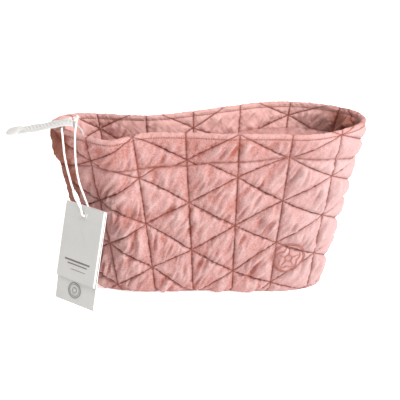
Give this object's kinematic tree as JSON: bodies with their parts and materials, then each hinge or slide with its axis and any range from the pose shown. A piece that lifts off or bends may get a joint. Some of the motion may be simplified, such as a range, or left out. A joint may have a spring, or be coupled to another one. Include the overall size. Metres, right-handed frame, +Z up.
{
  "type": "makeup bag",
  "caption": "quilted cotton makeup bag with a wide open mouth, flat boxed base, recessed zip, zip tail over the rim and a paper hang tag",
  "frame": {"origin": "middle of the flat base, on the surface the bag stands on", "axes": "+X along the mouth to the right as seen from the front, +Y to the back, +Z up"},
  "size_m": [0.3096, 0.1277, 0.1545],
  "materials": {
    "cotton": "washed quilted cotton, dusty pink, matt",
    "lining": "plain washed cotton, dusty pink, matt",
    "wadding": "soft off-white wadding",
    "zip_tape": "woven white polyester tape",
    "zip_teeth": "white moulded plastic",
    "zip_metal": "satin nickel",
    "tag_cord": "waxed white cotton cord",
    "seal_plastic": "white plastic",
    "tag_paper": "uncoated warm grey card"
  },
  "bodies": {
    "bag": {"outer_front": "cotton", "outer_back": "cotton", "wadding_front": "wadding", "wadding_back": "wadding", "lining_front": "lining", "lining_back": "lining", "zip_panel_front": "cotton", "zip_panel_back": "cotton", "zip_tape_front": "zip_tape", "zip_tape_back": "zip_tape", "zip_teeth_front": "zip_teeth", "zip_teeth_back": "zip_teeth", "zip_top_stop_front": "zip_metal", "zip_top_stop_back": "zip_metal", "tail_bridge_tape_front": "zip_tape", "tail_bridge_tape_back": "zip_tape", "tail_bridge_teeth": "zip_teeth", "tag_cord": "tag_cord", "seal_barrel": "seal_plastic", "seal_plug": "seal_plastic"},
    "slider": {"zip_slider": "zip_metal"},
    "pull": {"zip_pull": "zip_metal"},
    "tail": {"tail_end_tape_front": "zip_tape", "tail_end_tape_back": "zip_tape", "tail_end_teeth": "zip_teeth", "tail_stop": "zip_metal", "tail_end_tab": "zip_tape"},
    "card_front": {"tag_card_front": "tag_paper"},
    "card_back": {"tag_card_back": "tag_paper"}
  },
  "joints": [
    {"name": "slider_slide", "type": "slide", "parent": "bag", "child": "slider", "axis": [0.9997, 0, 0.0243], "range_m": [-0.035, 0.125]},
    {"name": "pull_swing", "type": "hinge", "parent": "slider", "child": "pull", "pos_m": [-0.04291, -0.009, 0.12639], "axis": [0, 1, 0], "range_deg": [0, 172]},
    {"name": "tail_bend", "type": "hinge", "parent": "bag", "child": "tail", "pos_m": [-0.13322, -0.01578, 0.14979], "axis": [-0.0561, 0.9984, -0.0121], "range_deg": [-75, 75]},
    {"name": "card_front_swing", "type": "hinge", "parent": "bag", "child": "card_front", "pos_m": [-0.1035, -0.052, 0.0802], "axis": [0.547, 0.8109, -0.2079], "range_deg": [-20, 20]},
    {"name": "card_back_swing", "type": "hinge", "parent": "bag", "child": "card_back", "pos_m": [-0.1035, -0.052, 0.0802], "axis": [0.547, 0.8109, -0.2079], "range_deg": [-20, 20]}
  ]
}
